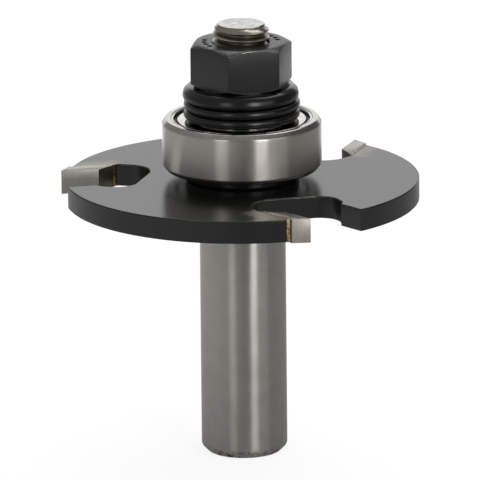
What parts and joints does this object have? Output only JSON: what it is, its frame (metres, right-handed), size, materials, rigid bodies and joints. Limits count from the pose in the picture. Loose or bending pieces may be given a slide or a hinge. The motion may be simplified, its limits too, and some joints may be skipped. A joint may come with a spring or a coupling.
{
  "type": "router bit",
  "caption": "Slot cutter router bit: an upright shank carries a disc with carbide-tipped wings, a guide bearing, spacers and a hexagon nut on a threaded stud.",
  "frame": {"origin": "centre of the shank's end face, on the bit's axis", "axes": "+Z along the axis from the shank's end to the nut; -Y is the front of the picture and +X its right"},
  "size_m": [0.0499, 0.0492, 0.0613],
  "materials": {
    "arbor_steel": "ground and turned bare steel",
    "black_coated_steel": "semi-gloss black coating",
    "black_oxide_steel": "black oxide",
    "carbide": "ground sintered carbide",
    "braze": "copper-gold braze metal",
    "bearing_steel": "ground bearing steel",
    "ball_steel": "polished bearing steel",
    "pressed_steel": "bright pressed sheet steel"
  },
  "bodies": {
    "arbor_assembly": {"arbor": "arbor_steel", "cutter_body": "black_coated_steel", "carbide_tip_1": "carbide", "carbide_tip_2": "carbide", "carbide_tip_3": "carbide", "braze_joint_1": "braze", "braze_joint_2": "braze", "braze_joint_3": "braze", "lower_spacer": "black_oxide_steel", "bearing_inner_ring": "bearing_steel", "upper_spacer_1": "black_oxide_steel", "upper_spacer_2": "black_oxide_steel", "upper_spacer_3": "black_oxide_steel", "hex_nut": "black_oxide_steel"},
    "bearing_rim": {"bearing_outer_ring": "bearing_steel", "shield_upper": "pressed_steel", "shield_lower": "pressed_steel"},
    "ball_cage": {"bearing_ball_1": "ball_steel", "bearing_ball_2": "ball_steel", "bearing_ball_3": "ball_steel", "bearing_ball_4": "ball_steel", "bearing_ball_5": "ball_steel", "bearing_ball_6": "ball_steel", "bearing_ball_7": "ball_steel", "cage_upper": "pressed_steel", "cage_lower": "pressed_steel", "cage_rivets": "pressed_steel"}
  },
  "joints": [
    {"name": "bearing_spin", "type": "hinge", "parent": "arbor_assembly", "child": "bearing_rim", "pos_m": [0, 0, 0.04437], "axis": [0, 0, 1], "continuous": true},
    {"name": "cage_spin", "type": "hinge", "parent": "arbor_assembly", "child": "ball_cage", "pos_m": [0, 0, 0.04437], "axis": [0, 0, 1], "continuous": true}
  ],
  "couplings": [
    {"joint": "cage_spin", "follows": "bearing_spin", "ratio": 0.63142}
  ]
}
